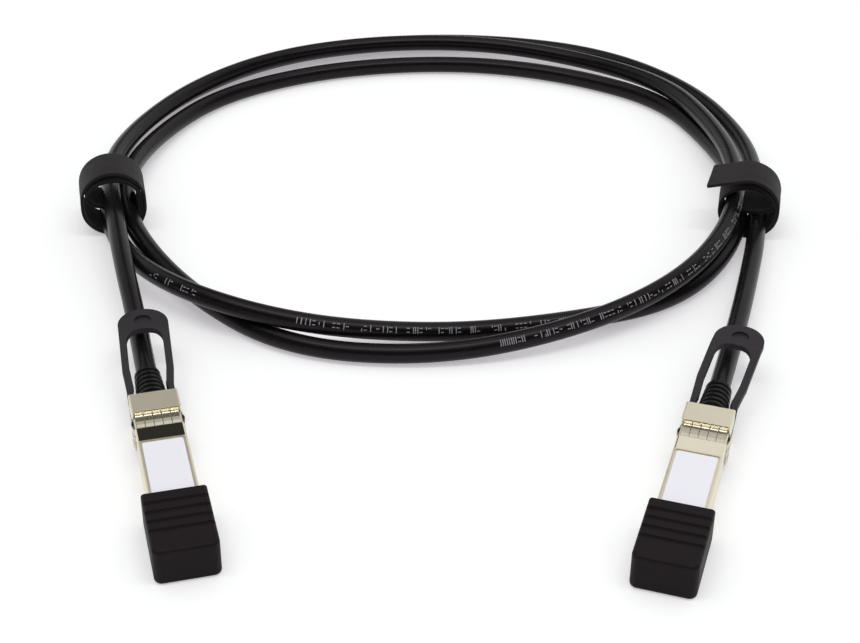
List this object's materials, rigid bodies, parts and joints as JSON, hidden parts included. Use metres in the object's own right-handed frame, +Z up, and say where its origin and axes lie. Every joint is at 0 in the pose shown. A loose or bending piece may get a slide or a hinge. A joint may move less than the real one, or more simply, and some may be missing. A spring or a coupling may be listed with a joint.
{
  "type": "direct attach copper cable",
  "caption": "Coiled copper network cable with a latching pluggable module on each end, pull tabs, dust caps and two hook-and-loop ties.",
  "frame": {"origin": "on the bench, at the centre of the box round the two modules and the two ties", "axes": "+Z up from the bench, +X from module a to module b, +Y from the modules to the far side of the coil"},
  "size_m": [0.2329, 0.3194, 0.0232],
  "materials": {
    "jacket": "semi-gloss extruded jacket",
    "tie_fabric": "brushed hook-and-loop strap",
    "shell": "satin nickel plate on a die-cast shell",
    "collar_steel": "bright spring steel",
    "screw_steel": "plain steel",
    "card": "solder mask",
    "gold_pads": "gold plate",
    "chip": "moulded epoxy",
    "ceramic": "fired ceramic",
    "foil": "foil wrap",
    "ferrule": "tinned crimp sleeve",
    "boot_rubber": "moulded rubber",
    "tab_plastic": "satin moulded plastic",
    "spring_steel": "stamped spring steel",
    "latch_metal": "nickel plate",
    "label_film": "printed film, left bare",
    "cap_rubber": "soft moulded rubber"
  },
  "bodies": {
    "root": {"cable": "jacket", "upper_shell_a": "shell", "lower_shell_a": "shell", "shell_screws_a": "screw_steel", "shielding_collar_a": "collar_steel", "circuit_card_a": "card", "card_pads_a": "gold_pads", "memory_chip_a": "chip", "card_capacitors_a": "ceramic", "twinax_send_a": "foil", "twinax_receive_a": "foil", "crimp_ferrule_a": "ferrule", "strain_relief_a": "boot_rubber", "latch_pin_a": "screw_steel", "latch_spring_a": "spring_steel", "label_a": "label_film", "upper_shell_b": "shell", "lower_shell_b": "shell", "shell_screws_b": "screw_steel", "shielding_collar_b": "collar_steel", "circuit_card_b": "card", "card_pads_b": "gold_pads", "memory_chip_b": "chip", "card_capacitors_b": "ceramic", "twinax_send_b": "foil", "twinax_receive_b": "foil", "crimp_ferrule_b": "ferrule", "strain_relief_b": "boot_rubber", "latch_pin_b": "screw_steel", "latch_spring_b": "spring_steel", "label_b": "label_film", "cable_tie_a": "tie_fabric", "cable_tie_b": "tie_fabric"},
    "release_a": {"pull_tab_a": "tab_plastic", "release_slider_a": "spring_steel"},
    "latch_a": {"latch_rocker_a": "latch_metal"},
    "cap_a": {"dust_cap_a": "cap_rubber"},
    "release_b": {"pull_tab_b": "tab_plastic", "release_slider_b": "spring_steel"},
    "latch_b": {"latch_rocker_b": "latch_metal"},
    "cap_b": {"dust_cap_b": "cap_rubber"}
  },
  "joints": [
    {"name": "release_slide_a", "type": "slide", "parent": "root", "child": "release_a", "axis": [-0.2554, 0.9668, 0], "range_m": [0, 0.003], "stiffness_N_per_m": 200},
    {"name": "latch_tilt_a", "type": "hinge", "parent": "root", "child": "latch_a", "pos_m": [-0.06888, -0.05457, 0.0026], "axis": [0.9668, 0.2554, 0], "range_deg": [0, 7], "deforming": ["latch_spring_a"]},
    {"name": "cap_slide_a", "type": "slide", "parent": "root", "child": "cap_a", "axis": [0.2554, -0.9668, 0], "range_m": [0, 0.026]},
    {"name": "release_slide_b", "type": "slide", "parent": "root", "child": "release_b", "axis": [0.2907, 0.9568, 0], "range_m": [0, 0.003], "stiffness_N_per_m": 200},
    {"name": "latch_tilt_b", "type": "hinge", "parent": "root", "child": "latch_b", "pos_m": [0.06909, -0.05846, 0.0026], "axis": [0.9568, -0.2907, 0], "range_deg": [0, 7], "deforming": ["latch_spring_b"]},
    {"name": "cap_slide_b", "type": "slide", "parent": "root", "child": "cap_b", "axis": [-0.2907, -0.9568, 0], "range_m": [0, 0.026]}
  ],
  "couplings": [
    {"joint": "latch_tilt_a", "follows": "release_slide_a", "rad_per_m": 40.724},
    {"joint": "latch_tilt_b", "follows": "release_slide_b", "rad_per_m": 40.724}
  ]
}
